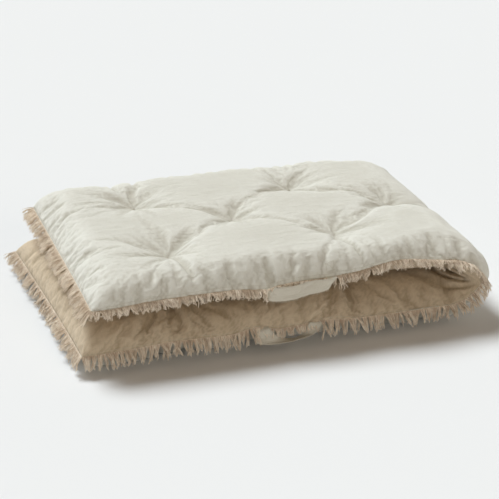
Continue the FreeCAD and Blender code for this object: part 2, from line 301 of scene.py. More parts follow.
# %% The two panels
def draw_panel(name, height_of, grid, flip):
    along, across, rise, flat = grid
    points = place_on(along, across, height_of(along, across, rise))
    return grid_mesh(name, warp(points, along, across), flat, flip)


along, across, _, flat = outer_panel = panel_grid(SEAM_Z, OUTER_ROLL, OUTER_ROLL_BACK)
along_i, across_i, _, flat_i = inner_panel = panel_grid(FOLD_RADIUS, INNER_ROLL, INNER_ROLL)
outer = draw_panel("outer_cover", outer_height, outer_panel, flip=True)
inner = draw_panel("inner_cover", inner_height, inner_panel, flip=False)
print("outer", along.shape, "inner", along_i.shape)

# %% [markdown]
# ## Letting the cloth settle
# A full cushion is tight over its filling and slack where a seam or a tie holds it, which is where
# it wrinkles. Wrinkles drawn by hand repeat and look stamped, so each panel is filled by Blender's
# Cloth with air instead: it has some spare cloth, it is gathered at the tufts, and the points at
# the seam and the tufts are held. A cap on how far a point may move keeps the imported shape.

# %% The cloth simulation
SHRINK_AT_TUFTS = 0.26
NUDGE = 0.0004           # small unevenness, without which cloth buckles in a mirror pattern
TUFT_HOLD, TUFT_GATHER = 0.005, 0.028


def coordinates(obj):
    found = np.zeros(len(obj.data.vertices) * 3)
    obj.data.vertices.foreach_get("co", found)
    return found.reshape(-1, 3)


def settle(obj, held, gathered, pressure, spare, frames, cap):
    """Lets a panel swell as cloth between the points that are held, then keeps the result."""
    start = coordinates(obj)
    nudge = np.random.default_rng(3).normal(0, NUDGE, start.shape)
    nudge[held] = 0
    obj.data.vertices.foreach_set("co", (start + nudge).ravel())
    group = obj.vertex_groups.new(name="held")
    group.add(np.flatnonzero(held).tolist(), 1.0, "REPLACE")
    cloth = obj.modifiers.new("cloth", "CLOTH")
    rules = cloth.settings
    rules.quality = 5
    rules.mass = 0.2
    rules.tension_stiffness = rules.compression_stiffness = 15.0
    rules.shear_stiffness = 5.0
    rules.bending_stiffness = 0.05
    rules.air_damping = 2.0
    rules.vertex_group_mass = "held"
    rules.use_pressure = True
    rules.uniform_pressure_force = pressure
    rules.shrink_min, rules.shrink_max = -spare, SHRINK_AT_TUFTS
    gather = obj.vertex_groups.new(name="gather")
    for level in range(1, 11):
        chosen = np.flatnonzero(np.round(gathered * 10) == level)
        if len(chosen):
            gather.add(chosen.tolist(), level / 10, "REPLACE")
    rules.vertex_group_shrink = "gather"
    rules.effector_weights.gravity = 0
    cloth.collision_settings.use_collision = False
    cloth.point_cache.frame_start, cloth.point_cache.frame_end = 1, frames
    for frame_number in range(1, frames + 1):
        scene.frame_set(frame_number)
    ready = obj.evaluated_get(bpy.context.evaluated_depsgraph_get())
    moved = np.zeros(start.size)
    ready.data.vertices.foreach_get("co", moved)
    moved = moved.reshape(-1, 3)
    obj.modifiers.remove(cloth)
    obj.vertex_groups.clear()
    scene.frame_set(1)
    step = moved - start
    length = np.linalg.norm(step, axis=1, keepdims=True)
    step *= np.minimum(1, cap / np.maximum(length, 1e-9))
    obj.data.vertices.foreach_set("co", (start + step).ravel())
    obj.data.update()
    print(obj.name, len(start), "points moved up to", round(float(length.max()), 4))


def gathers(along, across):
    """Where the cloth is gathered, 1 at a tuft, a little over the middle and none by the seams."""
    side = np.minimum(HALF_WIDTH - abs(across), LOWER_LENGTH + along)
    side = np.minimum(side, FOLD_LENGTH + UPPER_LENGTH - along)
    middle = np.clip((side - 0.02) / 0.05, 0, 1) * 0.1
    return np.clip(np.maximum(middle, 1 - tuft_distance(along, across) / TUFT_GATHER), 0, 1)


def fill_with_air(skin, grid, **numbers):
    along, across, rise, _ = grid
    held = (rise <= 1e-6) | (tuft_distance(along, across) < TUFT_HOLD)
    settle(skin, held.ravel(), gathers(along, across).ravel(), **numbers)


fill_with_air(outer, outer_panel, pressure=3.0, spare=0.075, frames=18, cap=0.02)
fill_with_air(inner, inner_panel, pressure=2.0, spare=0.05, frames=12, cap=0.014)

# %% Resting on the floor, and half against half
LAYER = 0.0004           # how far the lining stays from the plane where the halves meet
ON_FLOOR = 0.0006
rest = coordinates(outer)
rest[:, 2] = np.maximum(rest[:, 2], ON_FLOOR)
over = np.maximum(rest[:, 2] - (HIGHEST - PRESSED), 0) / PRESSED
rest[:, 2] = np.where(over > 0, HIGHEST - PRESSED + PRESSED * np.tanh(over), rest[:, 2])
outer.data.vertices.foreach_set("co", rest.ravel())
rest = coordinates(inner)
under = along_i.ravel() < FOLD_LENGTH / 2
past = rest[:, 0] > CREASE_X
limit = np.where(under, np.minimum(rest[:, 2], CREASE_Z - LAYER),
                 np.maximum(rest[:, 2], CREASE_Z + LAYER))
rest[:, 2] = np.where(past, rest[:, 2], limit)
inner.data.vertices.foreach_set("co", rest.ravel())
print("cover up to", round(float(coordinates(outer)[:, 2].max()), 4))

# %% [markdown]
# ## Sums made of nodes
# Both the fringe and the finishes are worked out by nodes. Written one by one, nodes are hard to
# read, so a wire from a node is wrapped in a small class that knows + - * /, and one method adds
# any other node. A line of nodes then reads as the sum that it is.

# %% Wires that can be added and multiplied
class Wire:
    """One output of a node; sums such as 1 - mask * 0.5 add the Math nodes that they need."""

    def __init__(self, graph, socket):
        self.graph, self.socket = graph, socket

    def __add__(self, other):
        return self.graph.math("ADD", self, other)

    def __sub__(self, other):
        return self.graph.math("SUBTRACT", self, other)

    def __rsub__(self, other):
        return self.graph.math("SUBTRACT", other, self)

    def __mul__(self, other):
        return self.graph.math("MULTIPLY", self, other)

    def __truediv__(self, other):
        return self.graph.math("DIVIDE", self, other)

    __radd__, __rmul__ = __add__, __mul__

    def other(self, name):
        """Another output of the same node."""
        return Wire(self.graph, self.socket.node.outputs[name])


class Graph:
    """A node tree being built."""

    def __init__(self, tree):
        self.tree = tree

    def node(self, kind, settings=None, sockets=None, output=0):
        """Adds a node: its settings first, then a value or a wire for each socket named."""
        made = self.tree.nodes.new(kind)
        for name, value in (settings or {}).items():
            setattr(made, name, value)
        for key, value in (sockets or {}).items():
            if isinstance(value, Wire):
                self.tree.links.new(value.socket, made.inputs[key])
            else:
                made.inputs[key].default_value = value
        return Wire(self, made.outputs[output])

    def math(self, operation, *values):
        return self.node("ShaderNodeMath", {"operation": operation}, dict(enumerate(values)))

    def vector(self, operation, *values):
        return self.node("ShaderNodeVectorMath", {"operation": operation},
                         dict(enumerate(values)))

    def scaled(self, vector, amount):
        return self.node("ShaderNodeVectorMath", {"operation": "SCALE"},
                         {0: vector, "Scale": amount})

    def noise(self, vector, detail, output=0):
        return self.node("ShaderNodeTexNoise", {},
                         {"Vector": vector, "Scale": 1.0, "Detail": detail}, output)

    def mixed(self, amount, pale, deep):
        return self.node("ShaderNodeMix", {"data_type": "RGBA"},
                         {0: amount, 6: (*pale, 1), 7: (*deep, 1)}, 2)

    def tube(self, curve, ring, radius):
        return self.node("GeometryNodeCurveToMesh", {}, {"Curve": curve, "Profile Curve": ring,
                                                         "Scale": radius, "Fill Caps": True})

    def link(self, wire, socket):
        self.tree.links.new(wire.socket, socket)

    def parts(self, vector):
        split = self.node("ShaderNodeSeparateXYZ", sockets={0: vector})
        return split, split.other("Y"), split.other("Z")

    def joined(self, x, y, z):
        return self.node("ShaderNodeCombineXYZ", sockets={0: x, 1: y, 2: z})

    def named(self, name, kind="FLOAT"):
        return self.node("GeometryNodeInputNamedAttribute", {"data_type": kind}, {"Name": name})

    def kept(self, geometry, name, value, kind="FLOAT_VECTOR"):
        """Stores a value on each point under a name."""
        return self.node("GeometryNodeStoreNamedAttribute", {"data_type": kind, "domain": "POINT"},
                         {"Geometry": geometry, "Name": name, "Value": value})

    def random(self, number, salt):
        """Three random numbers from 0 to 1 that depend only on a number and a salt."""
        colour = self.node("ShaderNodeTexWhiteNoise", {"noise_dimensions": "2D"},
                           {"Vector": self.joined(number, salt, 0.5)}, output=1)
        return self.parts(colour)


# %% [markdown]
# ## Growing pieces from a line
# Fringe, fray, stitches and ties all follow a line over the cloth. A tree gets that line as a mesh
# whose points carry named values, such as which way is out. What it makes is kept as a plain mesh,
# and the modifier goes, so nothing is left to be worked out again when a piece moves.

# %% Trees that grow pieces
def tree_with(name, numbers):
    """A Geometry Nodes tree with named number inputs, a seed shape and a material."""
    tree = bpy.data.node_groups.new(name, "GeometryNodeTree")
    tree.interface.new_socket("Shape", in_out="OUTPUT", socket_type="NodeSocketGeometry")
    tree.interface.new_socket("Shape", in_out="INPUT", socket_type="NodeSocketGeometry")
    tree.interface.new_socket("Material", in_out="INPUT", socket_type="NodeSocketMaterial")
    for label, value in numbers.items():
        item = tree.interface.new_socket(label, in_out="INPUT", socket_type="NodeSocketFloat")
        item.default_value = value
    graph = Graph(tree)
    return graph, graph.node("NodeGroupInput")


def finish_tree(graph, shape, material):
    whole = graph.node("GeometryNodeSetShadeSmooth", sockets={"Geometry": shape})
    whole = graph.node("GeometryNodeRealizeInstances", sockets={"Geometry": whole})
    whole = graph.node("GeometryNodeSetMaterial", sockets={"Geometry": whole, "Material": material})
    graph.link(whole, graph.tree.nodes.new("NodeGroupOutput").inputs[0])
    print(graph.tree.name, "tree", len(graph.tree.nodes), "nodes")
    return graph.tree


def grown(name, seed_mesh, tree, material, **numbers):
    """Runs a tree on a seed shape and keeps what it makes as a plain mesh."""
    base = bpy.data.objects.new(name + "_seed", seed_mesh)
    scene.collection.objects.link(base)
    modifier = base.modifiers.new("grow", "NODES")
    modifier.node_group = tree
    wanted = dict(numbers, Material=material)
    for item in tree.interface.items_tree:
        if item.in_out == "INPUT" and item.name in wanted:
            modifier[item.identifier] = wanted[item.name]
    ready = base.evaluated_get(bpy.context.evaluated_depsgraph_get())
    mesh = bpy.data.meshes.new_from_object(ready)
    mesh.name = name
    base.modifiers.remove(modifier)
    bpy.data.objects.remove(base)
    piece = bpy.data.objects.new(name, mesh)
    scene.collection.objects.link(piece)
    print(name, len(mesh.vertices), "points", len(mesh.polygons), "faces")
    return piece


def line_mesh(name, lines, **values):
    """Lines of points in one mesh, each point with its own named numbers or directions."""
    mesh = bpy.data.meshes.new(name)
    points, edges = [], []
    for line in lines:
        edges += [(len(points) + k, len(points) + k + 1) for k in range(len(line) - 1)]
        points += np.asarray(line).tolist()
    mesh.from_pydata(points, edges, [])
    for label, value in values.items():
        value = np.asarray(value, float)
        kind = "FLOAT_VECTOR" if value.ndim == 2 else "FLOAT"
        slot = mesh.attributes.new(label, kind, "POINT")
        slot.data.foreach_set("vector" if value.ndim == 2 else "value", value.ravel())
    return mesh


# %% [markdown]
# ## Finishes
# The cover is a plain cotton cloth, washed soft, so close to the eye its threads cross over and
# under, some are thicker slubs, and the colour is a little uneven. Its colour is also painted darker
# in the creases and paler on the ridges, as painted shade and painted light. The weave follows the
# cloth's own flat map, in metres, so that it bends with every fold; the crease value is measured
# from the settled shape.

# %% What the finishes share
def new_finish(name, roughness=0.9, sheen=0.15):
    """A material with its shader, and the graph to add to it."""
    finish = bpy.data.materials.new(name)
    finish.use_nodes = True
    graph = Graph(finish.node_tree)
    shader = finish.node_tree.nodes["Principled BSDF"]
    shader.inputs["Roughness"].default_value = roughness
    shader.inputs["Sheen Weight"].default_value = sheen
    shader.inputs["Sheen Roughness"].default_value = 0.6
    shader.inputs["Specular IOR Level"].default_value = 0.2
    return finish, graph, shader


# %% Cloth finish
def cotton(name, pale, deep, thread=0.0009, creased=True, worn=0.22, crumple=7.0):
    """Plain weave: thread is its spacing in metres, worn how strong the painted crease shade is."""
    finish, graph, shader = new_finish(name)
    u, v, _ = graph.parts(graph.node("ShaderNodeUVMap", {"uv_map": "cloth"}))

    def noise(x, y, detail=2.0, salt=0.0):
        return graph.noise(graph.joined(x, y, salt), detail)

    turns = 2 * math.pi / thread
    wobble = noise(u * 60, v * 60) * 0.9
    over = graph.math("SINE", u * turns + wobble)
    under = graph.math("SINE", v * turns + wobble)
    slub = noise(u * 900, v * 28, salt=3.0) * 0.5 + noise(u * 28, v * 900, salt=5.0) * 0.5
    patch = noise(u * 7, v * 7, 3.0, 9.0) * 0.75 + noise(u * 45, v * 45, 3.0, 11.0) * 0.25
    depth = (patch - 0.5) * 0.9 + (slub - 0.5) * 0.9 + 0.42
    # Painted shade and light: the colour is darker in the creases and paler on the ridges.
    if creased:
        crease = graph.node("ShaderNodeAttribute", {"attribute_name": "crease"}, output=2)
        depth = depth + crease * worn * 2
    depth = graph.node("ShaderNodeClamp", sockets={0: depth})
    folded = graph.math("ABSOLUTE", noise(u * 16, v * 40, 4.0, 6.0) - 0.5)
    folded = graph.math("POWER", folded * 2, 0.55)
    height = over * under * 0.35 + slub * 1.4 + noise(u * 160, v * 160, 3.0, 2.0) * 1.2
    height = height + folded * crumple
    bump = graph.node("ShaderNodeBump", {}, {"Strength": 0.55, "Distance": 0.0009,
                                             "Height": height})
    graph.link(graph.mixed(depth, pale, deep), shader.inputs["Base Color"])
    graph.link(bump, shader.inputs["Normal"])
    graph.link(0.84 + slub * 0.12, shader.inputs["Roughness"])
    return finish


cover_finish = cotton("washed_cotton_outer", (0.79, 0.77, 0.69), (0.60, 0.57, 0.485))
# Painted shade: the lining is a darker, browner copy of the cover's cotton, for walls that lie in
# shade.
lining_shaded_finish = cotton("washed_cotton_inner", (0.72, 0.585, 0.42), (0.41, 0.315, 0.20),
                       worn=0.12, crumple=2.5)
strap_finish = cotton("strap_cotton", (0.74, 0.70, 0.60), (0.60, 0.55, 0.45),
                      thread=0.0011, creased=False)
print("cloth", [cover_finish.name, lining_shaded_finish.name, strap_finish.name])

# %% [markdown]
# ## Yarn and thread
# A yarn is a few plies twisted together, so from near it shows slanting ridges, and no two yarns
# of a fringe are quite the same colour. The plies could be modelled, but thousands of yarns would
# then be too heavy, so they are a fine bump, and the colour drifts by place and by yarn. It is also
# painted darker at the root and paler to the tip: painted shade where the yarns crowd the seam and
# painted light at the tips.

# %% Yarn and thread finishes
def yarn(name, pale, deep, twist=900.0):
    """Twisted cotton: slanting plies, and a colour that drifts from yarn to yarn."""
    finish, graph, shader = new_finish(name, 0.95, 0.3)
    x, y, z = graph.parts(graph.node("ShaderNodeTexCoord", output=3))
    drift = graph.noise(graph.joined(x * 130, y * 130, z * 130), 3.0)
    broad = graph.noise(graph.joined(x * 22, y * 22, z * 22), 2.0)
    tip = graph.node("ShaderNodeAttribute", {"attribute_name": "tip"}, output=2)
    own, _, _ = graph.parts(graph.node("ShaderNodeAttribute", {"attribute_name": "pick"}, output=1))
    # Painted shade and light: darker at the root, where yarns crowd the seam, and paler to the tip.
    shade = (drift - 0.5) * 1.2 + (broad - 0.5) * 0.8 + (own - 0.5) * 1.1 + 0.85 - tip * 0.95
    shade = graph.node("ShaderNodeClamp", sockets={0: shade})
    plies = graph.math("SINE", (x + y + z * 1.6) * (twist * 2 * math.pi))
    bump = graph.node("ShaderNodeBump", {}, {"Strength": 0.5, "Distance": 0.0002, "Height": plies})
    graph.link(graph.mixed(shade, pale, deep), shader.inputs["Base Color"])
    graph.link(bump, shader.inputs["Normal"])
    return finish


yarn_finish = yarn("fringe_yarn", (0.99, 0.88, 0.73), (0.60, 0.455, 0.32))
thread_finish = yarn("tie_thread", (0.64, 0.59, 0.48), (0.50, 0.45, 0.35), 1200.0)
strap_thread_finish = yarn("strap_thread", (0.74, 0.70, 0.60), (0.60, 0.55, 0.45), 1200.0)
print("yarn and thread", [m.name for m in (yarn_finish, thread_finish, strap_thread_finish)])

# %% [markdown]
# ## The fringe
# The fringe is a strip of loose cotton yarns caught in the seam, so thousands of yarns leave one
# narrow heading. Neighbours cling together in small clumps, which is what the eye sees first. One
# tree makes all of it: it walks the seam, starts a few layers of yarns, bends each one down under
# its weight, draws it towards the middle of its clump and gives it a little curl.

# %% The fringe tree
def fringe_tree():
    """Yarns along a seam; the seed line says which way is out and aside, and the starting droop."""
    graph, given = tree_with("fringe", {
        "Pitch": 0.0019, "Layers": 3.0, "Length": 0.028, "Radius": 0.0008, "Clump": 0.006,
        "Squeeze": 0.5, "Lean": 0.5, "Curl": 0.005, "Bend": 0.8, "Heading": 0.0007, "Seed": 1.0})
    seed, length = given.other("Seed"), given.other("Length")
    seam = graph.node("GeometryNodeMeshToCurve", sockets={"Mesh": given.other("Shape")})
    roots = graph.node("GeometryNodeResampleCurve", {"mode": "LENGTH"},
                       {"Curve": seam, "Length": given.other("Pitch")})
    layers = graph.node("FunctionNodeFloatToInt", sockets={0: given.other("Layers")})
    roots = graph.node("GeometryNodeDuplicateElements", {"domain": "POINT"},
                       {"Geometry": roots, "Amount": layers})
    index = graph.node("GeometryNodeInputIndex")
    a, b, c = graph.random(index, seed)
    roots = graph.kept(roots, "pick", graph.joined(a, b, c))
    roots = graph.kept(roots, "root", graph.node("GeometryNodeInputPosition"))
    yarn = graph.node("GeometryNodeCurvePrimitiveLine", sockets={"End": (0, 0, 1)})
    yarn = graph.node("GeometryNodeResampleCurve", {"mode": "COUNT"}, {"Curve": yarn, "Count": 7})
    yarns = graph.node("GeometryNodeInstanceOnPoints", sockets={"Points": roots, "Instance": yarn})
    yarns = graph.node("GeometryNodeRealizeInstances", sockets={"Geometry": yarns})

    t = graph.node("GeometryNodeSplineParameter")
    yarns = graph.kept(yarns, "tip", t, "FLOAT")
    pick_x, pick_y, pick_z = graph.parts(graph.named("pick", "FLOAT_VECTOR"))
    side, out = graph.named("side", "FLOAT_VECTOR"), graph.named("out", "FLOAT_VECTOR")
    along, clump_width = graph.named("along"), given.other("Clump")
    clump = graph.math("FLOOR", along / clump_width)
    shift, tilt, fall = graph.random(clump, seed + 7.3)
    middle = (clump + 0.5 + (shift - 0.5) * 0.8) * clump_width
    gather = t * (1.75 - t) * given.other("Squeeze")
    reach = length * graph.named("reach") * (0.78 + 0.34 * pick_x) * (0.84 + 0.3 * shift)
    sideways = (middle - along) * gather + (tilt - 0.5) * given.other("Lean") * t * reach
    sideways = sideways + (pick_y - 0.5) * given.other("Pitch") * 2
    start = graph.named("droop") + (fall - 0.5) * 0.55 + (pick_z - 0.5) * 0.35
    bend = given.other("Bend") * (0.5 + pick_y)
    turned = start + bend * t
    cos_start = graph.math("COSINE", start)
    cos_turned = graph.math("COSINE", turned)
    sin_start = graph.math("SINE", start)
    sin_turned = graph.math("SINE", turned)
    outwards = reach * (sin_turned - sin_start) / bend
    down = reach * (cos_turned - cos_start) / bend
    swirl = graph.joined(along * 210, t * 2.6 + pick_x * 2.5, seed + pick_z * 2.5)
    curl = graph.noise(swirl, 1.0, output=1)
    curl = graph.vector("SUBTRACT", curl, (0.5, 0.5, 0.5))
    curl = graph.scaled(curl, given.other("Curl") * t * 2)
    place = graph.vector("ADD", graph.named("root", "FLOAT_VECTOR"), graph.scaled(out, outwards))
    place = graph.vector("ADD", place, graph.scaled(side, sideways))
    place = graph.vector("ADD", place, graph.joined(0.0, 0.0, down))
    place = graph.vector("ADD", place, curl)
    yarns = graph.node("GeometryNodeSetPosition", sockets={"Geometry": yarns, "Position": place})
    ring = graph.node("GeometryNodeCurvePrimitiveCircle", sockets={"Resolution": 5, "Radius": 1.0})
    thin = given.other("Radius") * (0.75 + 0.5 * pick_z) * (1 - 0.35 * t * t)
    both = graph.tree.nodes.new("GeometryNodeJoinGeometry")
    graph.link(graph.tube(seam, ring, given.other("Heading")), both.inputs[0])
    graph.link(graph.tube(yarns, ring, thin), both.inputs[0])
    return finish_tree(graph, Wire(graph, both.outputs[0]), given.other("Material"))


fringe_nodes = fringe_tree()

# %% [markdown]
# ## The eight runs of fringe
# The fringe is one strip all round, but its parts lie differently: it hangs short along the front
# of the upper half, sticks out at the free ends and fans out round the fold. So the seam is cut into
# eight runs, each with its own numbers for the same tree. The six runs on the halves move with their
# half's body; the two round the fold are attached to no body.

# %% Where each run of fringe goes
HEADING_OUT = 0.0005     # middle of the heading, out from the seam
CORNER = 0.018           # the yarns start to turn round a corner this far from it


def seam_run(along, across):
    """Points on the seam, and the direction along it."""
    points = warp(place_on(along, across, np.zeros(along.shape)), along, across)
    direction = np.gradient(points, axis=0)
    return points, direction / np.linalg.norm(direction, axis=1, keepdims=True)


def fringe_line(name, along, across, face, droop, reach):
    """Seed line of one run: face is the side of the cushion that it hangs from."""
    along, across = np.broadcast_arrays(along, across)
    points, side = seam_run(along, across)
    out = np.tile(np.array(face, float), (len(points), 1))
    turn = np.clip(along / FOLD_LENGTH, 0, 1) * math.pi
    out[:, 0] += 0.55 * np.sin(turn) * (np.abs(face[1]) > 0)
    out[:, 2] -= 0.35 * np.cos(turn) * np.sin(turn)
    free = np.minimum(along + LOWER_LENGTH, LENGTH_ALL - LOWER_LENGTH - along)
    corner = np.clip(1 - free / CORNER, 0, 1)
    if face[1]:
        out[:, 0] -= corner * 0.9
    else:
        near = np.clip(1 - (HALF_WIDTH - np.abs(across)) / CORNER, 0, 1) * np.sign(across)
        out[:, 1] += near * 0.6
    out /= np.linalg.norm(out, axis=1, keepdims=True)
    run = run_along(points)
    return line_mesh(name, [points + out * HEADING_OUT], out=out, side=side, along=run,
                     droop=np.broadcast_to(droop, run.shape),
                     reach=np.broadcast_to(reach, run.shape),
                     share=np.clip(along / FOLD_LENGTH, 0, 1))


# %% Grow the fringe
STRAP_LOW, STRAP_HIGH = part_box("upper_handle")
LOOP_LOW, LOOP_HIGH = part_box("lower_handle")


def at_strap(x, low, high, inside, beside):
    """Scales the yarns' reach: shorter behind a strap, longer in the two tassels beside it."""
    behind = (x > low) & (x < high)
    tassel = np.exp(-((x - low) / 0.008) ** 2) + np.exp(-((x - high) / 0.008) ** 2)
    return np.where(behind, inside, 1.0) + beside * tassel


front_lower = np.linspace(-LOWER_LENGTH, 0, 260)
front_upper = np.linspace(FOLD_LENGTH, FOLD_LENGTH + UPPER_LENGTH, 260)
round_fold = np.linspace(0, FOLD_LENGTH, 70)
width_run = np.linspace(-HALF_WIDTH, HALF_WIDTH, 160)
x_lower = CREASE_X + front_lower
x_upper = CREASE_X - (front_upper - FOLD_LENGTH)
END_DROOP = np.radians(30) - np.radians(22) * np.clip(width_run / HALF_WIDTH, 0, 1) ** 6
RUNS = {
    "lower_fringe_front": (front_lower, -HALF_WIDTH, (0, -1, 0), 0.85,
                           at_strap(x_lower, LOOP_LOW.x, LOOP_HIGH.x, 0.66, 0.3),
                           dict(Length=0.030, Clump=0.0065, Squeeze=0.5, Lean=0.9, Bend=0.5)),
    "lower_fringe_back": (front_lower, HALF_WIDTH, (0, 1, 0), 1.0, 1.0,
                          dict(Length=0.029, Clump=0.0065, Squeeze=0.5, Lean=0.9, Bend=0.5)),
    "lower_fringe_end": (-LOWER_LENGTH, width_run, (-1, 0, 0), END_DROOP + 0.1, 1.0,
                         dict(Length=0.0285, Clump=0.009, Squeeze=0.35, Lean=0.45, Bend=0.55)),
    "upper_fringe_front": (front_upper, -HALF_WIDTH, (0, -1, 0), 0.3,
                           at_strap(x_upper, STRAP_LOW.x, STRAP_HIGH.x, 0.35, 0.8),
                           dict(Length=0.020, Clump=0.0055, Squeeze=0.4, Lean=0.9, Curl=0.009,
                                Bend=1.5)),
    "upper_fringe_back": (front_upper, HALF_WIDTH, (0, 1, 0), 0.35, 1.0,
                          dict(Length=0.025, Clump=0.007, Squeeze=0.45, Lean=0.8, Curl=0.007,
                               Bend=0.8)),
    "upper_fringe_end": (FOLD_LENGTH + UPPER_LENGTH, width_run, (-1, 0, 0), END_DROOP, 1.0,
                         dict(Length=0.031, Clump=0.011, Squeeze=0.2, Lean=0.3, Curl=0.004,
                              Bend=0.45)),
    "fold_fringe_front": (round_fold, -HALF_WIDTH, (0, -1, 0), 0.35, 1.0,
                          dict(Length=0.029, Clump=0.008, Squeeze=0.5, Lean=1.0, Bend=0.7)),
    "fold_fringe_back": (round_fold, HALF_WIDTH, (0, 1, 0), 0.35, 1.0,
                         dict(Length=0.029, Clump=0.008, Squeeze=0.5, Lean=1.0, Bend=0.7)),
}
fringes = {}
for number, (name, run) in enumerate(RUNS.items()):
    along_run, across_run, face, droop, reach, numbers = run
    line = fringe_line(name + "_line", along_run, across_run, face, droop, reach)
    fringes[name] = grown(name + "_yarns", line, fringe_nodes, yarn_finish, Seed=float(number),
                          **numbers)

# %% [markdown]
# ## Straps
# Two short cotton straps are caught in the seam at the middle of each half. The upper one is nearly
# straight: it leaves the seam, is folded over on the slant, runs along and goes back in. The lower
# one is slack and lies twisted. A strap is a ribbon, so each is drawn as pairs of edge points and
# smoothed between them, given its thickness, and finished with a little fray along its edges.

# %% Ribbons
STRAP_THICKNESS = 0.0018
RAGGED, RIPPLE, BOW = 0.0009, 0.0025, 0.0012     # uneven edges, waves along it, and a soft bow


def smooth_rows(rows, count):
    """Points on smooth curves through rows of control points."""
    rows = np.asarray(rows, float)
    padded = np.concatenate([[2 * rows[0] - rows[1]], rows, [2 * rows[-1] - rows[-2]]])
    place = np.linspace(0, len(rows) - 1, count)
    k = np.minimum(place.astype(int), len(rows) - 2)
    t = (place - k)[:, None, None]
    p0, p1, p2, p3 = (padded[k + i] for i in range(4))
    return 0.5 * (2 * p1 + (p2 - p0) * t + (2 * p0 - 5 * p1 + 4 * p2 - p3) * t ** 2
                  + (3 * p1 - p0 - 3 * p2 + p3) * t ** 3)


def uneven(rng, count, window):
    """Random numbers smoothed over a window."""
    rough = rng.normal(0, 1, count + window - 1)
    return np.convolve(rough, np.ones(window) / window, "valid")[:, None]


def ribbon(name, rows, seed, count=110):
    """A strap whose rows are pairs of edge points, with slightly uneven edges and a soft bow."""
    edges = smooth_rows(rows, count)
    rng = np.random.default_rng(seed)
    ragged = uneven(rng, count, 9) * RAGGED
    across = np.linspace(0, 1, 9)
    a, b = edges[:, 0], edges[:, 1]
    reach = (b - a) / np.linalg.norm(b - a, axis=1, keepdims=True)
    a, b = a - reach * ragged, b + reach * ragged[::-1]
    run = np.gradient((a + b) / 2, axis=0)
    normal = np.cross(run, b - a)
    normal /= np.linalg.norm(normal, axis=1, keepdims=True)
    points = a[:, None] + (b - a)[:, None] * across[None, :, None]
    swell = (np.sin(np.pi * across) * BOW)[None, :, None]
    ripple = uneven(rng, count, 15)[:, None] * RIPPLE
    points = points + normal[:, None] * (swell + ripple * np.cos(2.4 * across)[None, :, None])
    length = run_along((a + b) / 2)
    width = np.linalg.norm(b - a, axis=1).mean()
    flat = np.stack(np.meshgrid(length, across * width, indexing="ij"), -1)
    piece = grid_mesh(name + "_flat", points, flat)
    piece.data.materials.append(strap_finish)
    solid = piece.modifiers.new("thickness", "SOLIDIFY")
    solid.thickness, solid.offset = STRAP_THICKNESS, 0
    smooth = piece.modifiers.new("smooth", "SUBSURF")
    smooth.levels = smooth.render_levels = 1
    return applied(piece, name), points, length[-1], width


def applied(piece, name):
    """The piece with its modifiers worked into a plain mesh."""
    ready = piece.evaluated_get(bpy.context.evaluated_depsgraph_get())
    mesh = bpy.data.meshes.new_from_object(ready)
    mesh.name = name
    bpy.data.objects.remove(piece)
    done = bpy.data.objects.new(name, mesh)
    scene.collection.objects.link(done)
    return done


# %% The two straps
def seam_height(x, half):
    """Height of the front seam at x, where a strap is sewn in."""
    start = unrolled(x, half)
    points, _ = seam_run(np.array([start, start + 1e-4]), np.full(2, -HALF_WIDTH))
    return points[0, 2]


a, b, y = STRAP_LOW.x, STRAP_HIGH.x, -HALF_WIDTH
z_a, z_b = seam_height(a + 0.02, "upper"), seam_height(b - 0.02, "upper")
upper_rows = [[(a + 0.026, y, z_a), (a - 0.001, y, z_a)],
              [(a + 0.022, y - 0.006, z_a + 0.001), (a + 0.001, y - 0.009, z_a - 0.012)],
              [(a + 0.017, y - 0.0115, z_a + 0.003), (a + 0.004, y - 0.0155, z_a - 0.022)],
              [(a + 0.030, y - 0.013, z_a + 0.003), (a + 0.020, y - 0.017, z_a - 0.026)],
              [(a + 0.065, y - 0.014, z_a + 0.003), (a + 0.052, y - 0.018, z_a - 0.026)],
              [(b - 0.062, y - 0.014, z_b + 0.002), (b - 0.075, y - 0.018, z_b - 0.026)],
              [(b - 0.030, y - 0.013, z_b + 0.002), (b - 0.042, y - 0.017, z_b - 0.024)],
              [(b - 0.004, y - 0.011, z_b + 0.001), (b - 0.024, y - 0.014, z_b - 0.020)],
              [(b - 0.004, y - 0.006, z_b), (b - 0.020, y - 0.007, z_b - 0.009)],
              [(b, y, z_b), (b - 0.024, y, z_b)]]
upper_strap, upper_grid, upper_length, upper_width = ribbon("upper_strap", upper_rows, seed=5)
a, b = LOOP_LOW.x, LOOP_HIGH.x
z_a, z_b = seam_height(a + 0.015, "lower"), seam_height(b - 0.015, "lower")
middle = (a + b) / 2
lower_rows = [[(a + 0.030, y, z_a), (a + 0.002, y, z_a)],
              [(a + 0.030, y - 0.007, z_a - 0.001), (a - 0.001, y - 0.010, z_a - 0.009)],
              [(a + 0.036, y - 0.010, z_a - 0.010), (a - 0.001, y - 0.016, z_a - 0.026)],
              [(a + 0.052, y - 0.008, 0.029), (a + 0.028, y - 0.022, 0.0215)],
              [(middle + 0.004, y - 0.002, 0.0185), (middle - 0.004, y - 0.026, 0.024)],
              [(b - 0.050, y - 0.003, 0.0235), (b - 0.040, y - 0.022, 0.0265)],
              [(b - 0.038, y - 0.004, 0.034), (b - 0.020, y - 0.016, 0.032)],
              [(b - 0.030, y - 0.004, z_b - 0.001), (b - 0.003, y - 0.008, z_b - 0.004)],
              [(b - 0.030, y, z_b), (b - 0.002, y, z_b)]]
lower_strap, lower_grid, lower_length, lower_width = ribbon("lower_strap", lower_rows, seed=8)
print("upper strap", round(upper_length, 3), "by", round(upper_width, 3))
print("lower strap", round(lower_length, 3), "by", round(lower_width, 3))

# %% [markdown]
# ## Frayed edges
# The straps are torn, not hemmed, so short threads stand out along both edges. They grow as the
# fringe does, from the same tree with small numbers, along the strap's own edges.

